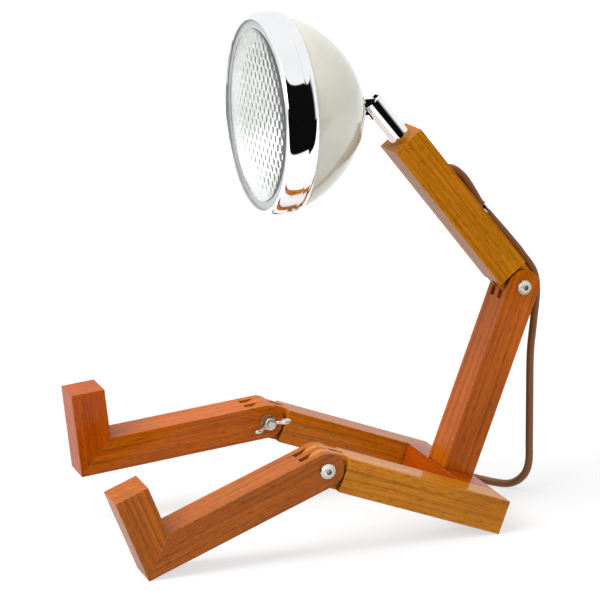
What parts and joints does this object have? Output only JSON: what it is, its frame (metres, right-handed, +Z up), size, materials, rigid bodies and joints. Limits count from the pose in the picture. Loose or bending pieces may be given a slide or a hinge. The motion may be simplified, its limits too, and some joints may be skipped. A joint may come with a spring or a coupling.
{
  "type": "figure-shaped desk lamp",
  "caption": "Desk lamp shaped like a seated figure: hinged timber legs, trunk and neck, and a chrome-rimmed car headlamp as its tilting head.",
  "frame": {"origin": "middle of the bottom of the object, measured without its free cord", "axes": "+Z up, -Y the way the figure faces, +X to the side of its lowered leg"},
  "size_m": [0.3315, 0.3777, 0.4035],
  "materials": {
    "lacquered_oak": "gloss lacquer",
    "beech_dowel": "plain",
    "zinc_steel": "zinc plated",
    "chromed_brass": "polished",
    "plated_brass_pins": "nickel plated",
    "cream_enamel": "gloss enamel",
    "clear_glass": "pressed pattern",
    "frosted_bulb": "frosted",
    "silvered_reflector": "polished",
    "black_rubber": "matt",
    "ceramic": "glazed ceramic",
    "brown_cable": "smooth sheath",
    "brown_plastic": "moulded",
    "black_plastic": "moulded"
  },
  "bodies": {
    "seat": {"thigh_right": "lacquered_oak", "thigh_left": "lacquered_oak", "hip_rail": "lacquered_oak", "rail_dowels": "beech_dowel", "trunk_post": "lacquered_oak", "post_screws": "zinc_steel", "trunk_bolt": "zinc_steel", "trunk_washers": "zinc_steel", "hinge_cord": "brown_cable", "hanging_cord": "brown_cable", "cord_coil": "brown_cable", "switch_cord": "brown_cable", "plug_cord": "brown_cable", "switch_base": "brown_plastic", "switch_cover": "brown_plastic", "switch_screws": "zinc_steel", "cord_sleeves": "black_rubber", "plug_body": "black_plastic", "plug_pins": "plated_brass_pins"},
    "trunk_nut": {"trunk_wing_nut": "zinc_steel"},
    "beam": {"neck_beam": "lacquered_oak", "neck_screw": "zinc_steel", "cable_bush": "black_rubber", "cord_clip": "zinc_steel", "clip_screw": "zinc_steel", "inner_cable": "brown_cable", "beam_cord": "brown_cable"},
    "neck": {"neck_tube": "chromed_brass", "tilt_pin": "zinc_steel", "neck_wires": "brown_cable"},
    "head": {"head_lug": "chromed_brass", "lug_nut": "zinc_steel", "lug_washer": "zinc_steel", "lamp_shell": "cream_enamel", "bezel": "chromed_brass", "bezel_screw": "zinc_steel", "headlamp_glass": "clear_glass", "glass_gasket": "black_rubber", "reflector": "silvered_reflector", "rim_clips": "zinc_steel", "holder_bracket": "zinc_steel", "lamp_holder": "ceramic", "bulb": "frosted_bulb", "lamp_wires": "brown_cable"},
    "leg_right": {"shin_right": "lacquered_oak", "foot_right": "lacquered_oak", "heel_dowels_right": "beech_dowel", "knee_bolt_right": "zinc_steel", "knee_washers_right": "zinc_steel"},
    "leg_left": {"shin_left": "lacquered_oak", "foot_left": "lacquered_oak", "heel_dowels_left": "beech_dowel", "knee_bolt_left": "zinc_steel", "knee_washers_left": "zinc_steel"},
    "nut_right": {"wing_nut_right": "zinc_steel"},
    "nut_left": {"wing_nut_left": "zinc_steel"},
    "rocker": {"switch_rocker": "black_plastic"}
  },
  "joints": [
    {"name": "trunk_fold", "type": "hinge", "parent": "seat", "child": "beam", "pos_m": [0, 0.17138, 0.17622], "axis": [1, 0, 0], "range_deg": [-60, 34], "deforming": ["hinge_cord"]},
    {"name": "knee_right", "type": "hinge", "parent": "seat", "child": "leg_right", "pos_m": [0.069, -0.02053, 0.06833], "axis": [1, 0, 0], "range_deg": [-136, 52]},
    {"name": "knee_left", "type": "hinge", "parent": "seat", "child": "leg_left", "pos_m": [-0.069, -0.02053, 0.06833], "axis": [1, 0, 0], "range_deg": [-120, 67]},
    {"name": "neck_swivel", "type": "hinge", "parent": "beam", "child": "neck", "pos_m": [0, 0.07376, 0.29982], "axis": [0, -0.6198, 0.7848], "range_deg": [-155, 155]},
    {"name": "head_tilt", "type": "hinge", "parent": "neck", "child": "head", "pos_m": [0, 0.053, 0.32611], "axis": [1, 0, 0], "range_deg": [-50, 38], "deforming": ["neck_wires"]},
    {"name": "trunk_nut_turn", "type": "hinge", "parent": "seat", "child": "trunk_nut", "pos_m": [0, 0.17138, 0.17622], "axis": [1, 0, 0], "range_deg": [0, 180]},
    {"name": "nut_right_turn", "type": "hinge", "parent": "leg_right", "child": "nut_right", "pos_m": [0.069, -0.02053, 0.06833], "axis": [1, 0, 0], "range_deg": [0, 180]},
    {"name": "nut_left_turn", "type": "hinge", "parent": "leg_left", "child": "nut_left", "pos_m": [-0.069, -0.02053, 0.06833], "axis": [1, 0, 0], "range_deg": [0, 180]},
    {"name": "rocker_press", "type": "hinge", "parent": "seat", "child": "rocker", "pos_m": [-0.23, -0.006, 0.0115], "axis": [1, 0, 0], "range_deg": [-12, 0]}
  ]
}
